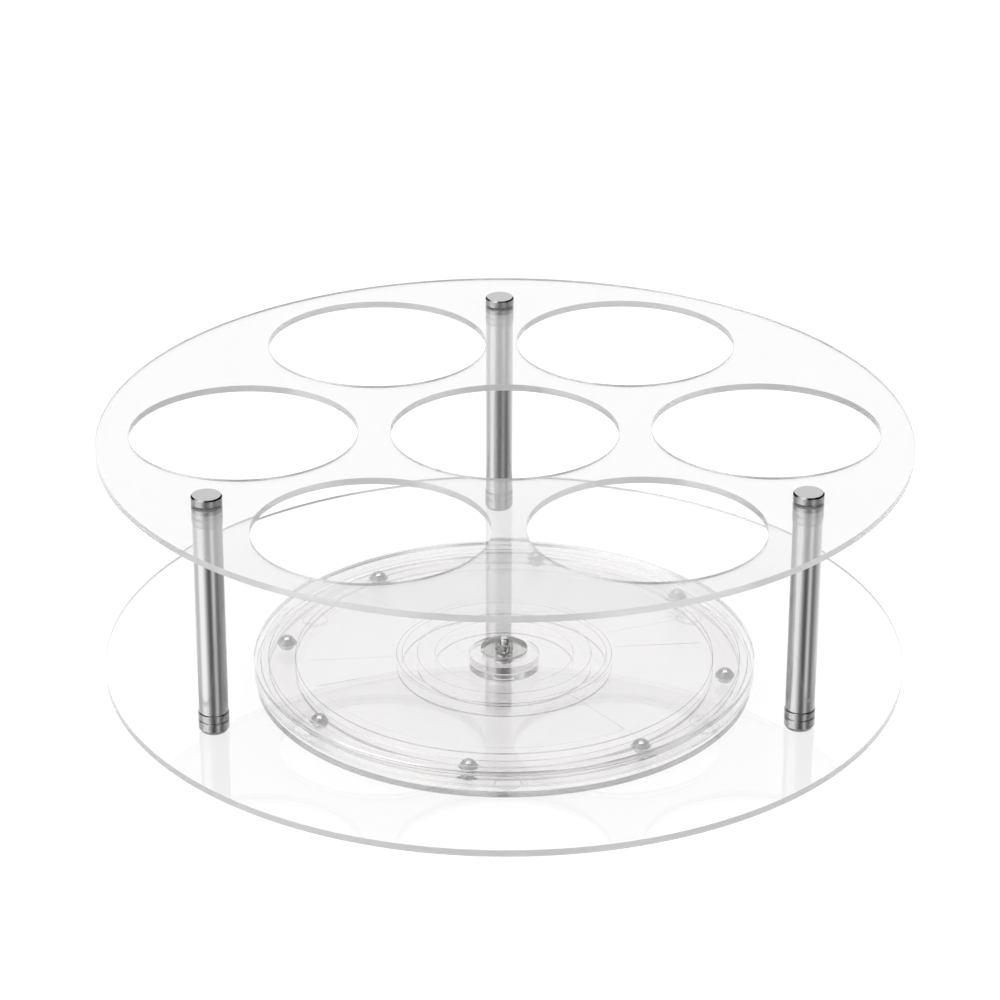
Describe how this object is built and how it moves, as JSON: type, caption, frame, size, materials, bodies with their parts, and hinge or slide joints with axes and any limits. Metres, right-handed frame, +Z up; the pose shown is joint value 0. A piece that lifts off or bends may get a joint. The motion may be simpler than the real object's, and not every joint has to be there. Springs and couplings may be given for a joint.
{
  "type": "lazy susan turntable",
  "caption": "Round two-tier clear rotating rack: an upper deck of round cup holes on slim metal posts over a plain lower deck that turns on a flat ball bearing.",
  "frame": {"origin": "On the table, at the middle of the underside, on the turning axis.", "axes": "+Z up along the turning axis. +X along a row of three cup holes. One post stands at +Y."},
  "size_m": [0.356, 0.356, 0.1277],
  "materials": {
    "clear_acrylic": "clear cast acrylic sheet with flame-polished edges",
    "clear_moulding": "clear injection-moulded plastic, glossy",
    "clear_nylon": "translucent nylon",
    "polished_metal": "polished, slightly brushed round the tube",
    "plated_steel": "bright zinc plate",
    "ball_steel": "polished bearing steel",
    "foot_rubber": "matt clear rubber"
  },
  "bodies": {
    "base": {"turntable_stator": "clear_moulding", "rubber_foot_1": "foot_rubber", "rubber_foot_2": "foot_rubber", "rubber_foot_3": "foot_rubber", "rubber_foot_4": "foot_rubber", "rubber_foot_5": "foot_rubber", "rubber_foot_6": "foot_rubber", "pivot_screw": "plated_steel", "pivot_bushing": "clear_nylon", "pivot_washer": "clear_nylon", "pivot_nut": "clear_nylon"},
    "rack": {"turntable_rotor": "clear_moulding", "lower_deck": "clear_acrylic", "upper_deck": "clear_acrylic", "post_tube_1": "polished_metal", "post_lower_collar_1": "polished_metal", "post_upper_collar_1": "polished_metal", "post_cap_1": "polished_metal", "post_foot_screw_1": "plated_steel", "post_tube_2": "polished_metal", "post_lower_collar_2": "polished_metal", "post_upper_collar_2": "polished_metal", "post_cap_2": "polished_metal", "post_foot_screw_2": "plated_steel", "post_tube_3": "polished_metal", "post_lower_collar_3": "polished_metal", "post_upper_collar_3": "polished_metal", "post_cap_3": "polished_metal", "post_foot_screw_3": "plated_steel"},
    "cage": {"ball_cage": "clear_moulding"},
    "ball_1": {"bearing_ball_1": "ball_steel"},
    "ball_2": {"bearing_ball_2": "ball_steel"},
    "ball_3": {"bearing_ball_3": "ball_steel"},
    "ball_4": {"bearing_ball_4": "ball_steel"},
    "ball_5": {"bearing_ball_5": "ball_steel"},
    "ball_6": {"bearing_ball_6": "ball_steel"},
    "ball_7": {"bearing_ball_7": "ball_steel"},
    "ball_8": {"bearing_ball_8": "ball_steel"}
  },
  "joints": [
    {"name": "turntable_spin", "type": "hinge", "parent": "base", "child": "rack", "pos_m": [0, 0, 0.008], "axis": [0, 0, 1], "continuous": true},
    {"name": "cage_spin", "type": "hinge", "parent": "base", "child": "cage", "pos_m": [0, 0, 0.008], "axis": [0, 0, 1], "continuous": true},
    {"name": "ball_1_roll", "type": "hinge", "parent": "cage", "child": "ball_1", "pos_m": [0.08126, 0.05743, 0.008], "axis": [0.8166, 0.5771, 0], "continuous": true},
    {"name": "ball_2_roll", "type": "hinge", "parent": "cage", "child": "ball_2", "pos_m": [0.01685, 0.09806, 0.008], "axis": [0.1693, 0.9856, 0], "continuous": true},
    {"name": "ball_3_roll", "type": "hinge", "parent": "cage", "child": "ball_3", "pos_m": [-0.05743, 0.08126, 0.008], "axis": [-0.5771, 0.8166, 0], "continuous": true},
    {"name": "ball_4_roll", "type": "hinge", "parent": "cage", "child": "ball_4", "pos_m": [-0.09806, 0.01685, 0.008], "axis": [-0.9856, 0.1693, 0], "continuous": true},
    {"name": "ball_5_roll", "type": "hinge", "parent": "cage", "child": "ball_5", "pos_m": [-0.08126, -0.05743, 0.008], "axis": [-0.8166, -0.5771, 0], "continuous": true},
    {"name": "ball_6_roll", "type": "hinge", "parent": "cage", "child": "ball_6", "pos_m": [-0.01685, -0.09806, 0.008], "axis": [-0.1693, -0.9856, 0], "continuous": true},
    {"name": "ball_7_roll", "type": "hinge", "parent": "cage", "child": "ball_7", "pos_m": [0.05743, -0.08126, 0.008], "axis": [0.5771, -0.8166, 0], "continuous": true},
    {"name": "ball_8_roll", "type": "hinge", "parent": "cage", "child": "ball_8", "pos_m": [0.09806, -0.01685, 0.008], "axis": [0.9856, -0.1693, 0], "continuous": true}
  ],
  "couplings": [
    {"joint": "cage_spin", "follows": "turntable_spin", "ratio": 0.5},
    {"joint": "ball_1_roll", "follows": "turntable_spin", "ratio": -12.438},
    {"joint": "ball_2_roll", "follows": "turntable_spin", "ratio": -12.438},
    {"joint": "ball_3_roll", "follows": "turntable_spin", "ratio": -12.438},
    {"joint": "ball_4_roll", "follows": "turntable_spin", "ratio": -12.438},
    {"joint": "ball_5_roll", "follows": "turntable_spin", "ratio": -12.438},
    {"joint": "ball_6_roll", "follows": "turntable_spin", "ratio": -12.438},
    {"joint": "ball_7_roll", "follows": "turntable_spin", "ratio": -12.438},
    {"joint": "ball_8_roll", "follows": "turntable_spin", "ratio": -12.438}
  ]
}
